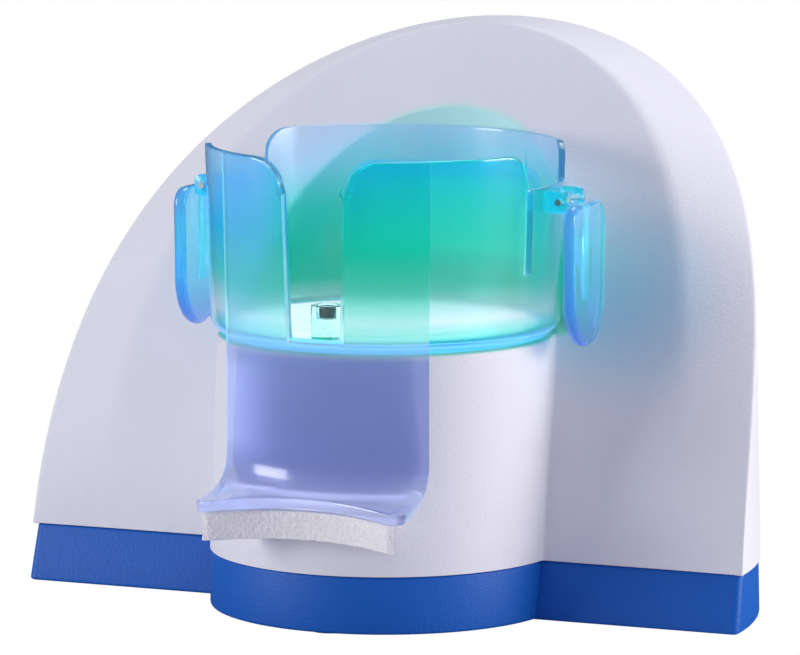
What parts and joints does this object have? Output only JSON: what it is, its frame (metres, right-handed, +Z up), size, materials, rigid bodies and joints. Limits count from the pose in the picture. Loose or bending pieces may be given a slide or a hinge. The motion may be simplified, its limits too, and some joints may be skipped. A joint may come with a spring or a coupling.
{
  "type": "bench-top dental light unit",
  "caption": "Bench-top dental light unit: a swept-back housing with a lit niche and a lift-off translucent cup with a foam-padded front lip.",
  "frame": {"origin": "middle of the overall footprint at the height of the surface it stands on", "axes": "+Z up, +X to the right of the front view, -Y towards the user"},
  "size_m": [0.27, 0.2032, 0.1988],
  "materials": {
    "housing_white_abs": "fine-textured lavender-white moulded ABS",
    "base_blue_abs": "fine-textured mid blue moulded ABS",
    "cup_translucent_teal": "translucent frosted teal polycarbonate, smooth",
    "shield_translucent_violet": "translucent blue-violet polycarbonate, smooth",
    "ear_translucent_cyan": "translucent cyan polycarbonate, smooth",
    "foam_pad_white": "off-white open-cell foam",
    "clear_acrylic": "clear polished acrylic",
    "magnet_nickel": "dark nickel plating",
    "bezel_cyan": "satin cyan plastic",
    "window_diffuser_green": "green satin diffuser, lit from behind",
    "circuit_board": "green solder resist",
    "led_dome": "milky dome lens",
    "aluminium_sink": "extruded, satin",
    "chip_epoxy": "black moulded epoxy",
    "capacitor_sleeve": "dark blue sleeve",
    "connector_nylon": "natural nylon",
    "socket_nylon": "black moulded nylon",
    "screw_zinc": "zinc plated",
    "stainless_pin": "ground stainless steel",
    "foot_rubber": "dull black rubber",
    "wire_sleeve": "dark sleeve"
  },
  "bodies": {
    "housing": {"base_tray": "base_blue_abs", "board_screw_1": "screw_zinc", "board_screw_2": "screw_zinc", "board_screw_3": "screw_zinc", "board_screw_4": "screw_zinc", "capacitor_1": "capacitor_sleeve", "capacitor_2": "capacitor_sleeve", "case_screw_1": "screw_zinc", "case_screw_2": "screw_zinc", "case_screw_3": "screw_zinc", "case_screw_4": "screw_zinc", "controller_chip": "chip_epoxy", "foot_1": "foot_rubber", "foot_2": "foot_rubber", "foot_3": "foot_rubber", "foot_4": "foot_rubber", "foot_5": "foot_rubber", "hall_sensor": "chip_epoxy", "heat_sink": "aluminium_sink", "housing_shell": "housing_white_abs", "led_1": "led_dome", "led_2": "led_dome", "led_3": "led_dome", "led_4": "led_dome", "led_5": "led_dome", "led_6": "led_dome", "light_board": "circuit_board", "light_connector": "connector_nylon", "light_harness": "wire_sleeve", "light_screw_1": "screw_zinc", "light_screw_2": "screw_zinc", "light_screw_3": "screw_zinc", "light_screw_4": "screw_zinc", "main_board": "circuit_board", "power_inlet": "socket_nylon", "sensor_board": "circuit_board", "sensor_connector": "connector_nylon", "sensor_harness": "wire_sleeve", "sensor_screw_1": "screw_zinc", "sensor_screw_2": "screw_zinc", "switch_case": "socket_nylon", "window_bezel": "bezel_cyan", "window_diffuser": "window_diffuser_green"},
    "cup": {"cup": "cup_translucent_teal", "locating_post": "clear_acrylic", "post_magnet": "magnet_nickel", "ear_pin_left": "stainless_pin", "ear_pin_right": "stainless_pin", "ear_spring_left": "stainless_pin", "ear_spring_right": "stainless_pin"},
    "shield": {"front_shield": "shield_translucent_violet", "foam_pad": "foam_pad_white"},
    "left_ear": {"ear_left": "ear_translucent_cyan"},
    "right_ear": {"ear_right": "ear_translucent_cyan"},
    "rocker": {"switch_rocker": "socket_nylon"}
  },
  "joints": [
    {"name": "cup_lift", "type": "slide", "parent": "housing", "child": "cup", "axis": [0, 0, 1], "range_m": [0, 0.07]},
    {"name": "shield_lift", "type": "slide", "parent": "cup", "child": "shield", "axis": [0, -0.0349, 0.9994], "range_m": [0, 0.066]},
    {"name": "left_ear_squeeze", "type": "hinge", "parent": "cup", "child": "left_ear", "pos_m": [-0.0674, -0.02043, 0.1466], "axis": [0, -1, 0], "range_deg": [0, 6], "stiffness_Nm_per_rad": 0.05, "springref_deg": -5.73},
    {"name": "right_ear_squeeze", "type": "hinge", "parent": "cup", "child": "right_ear", "pos_m": [0.0674, -0.02043, 0.1466], "axis": [0, 1, 0], "range_deg": [0, 6], "stiffness_Nm_per_rad": 0.05, "springref_deg": -5.73},
    {"name": "rocker_tilt", "type": "hinge", "parent": "housing", "child": "rocker", "pos_m": [-0.024, 0.09765, 0.0115], "axis": [0, 0, 1], "range_deg": [0, 16]}
  ]
}
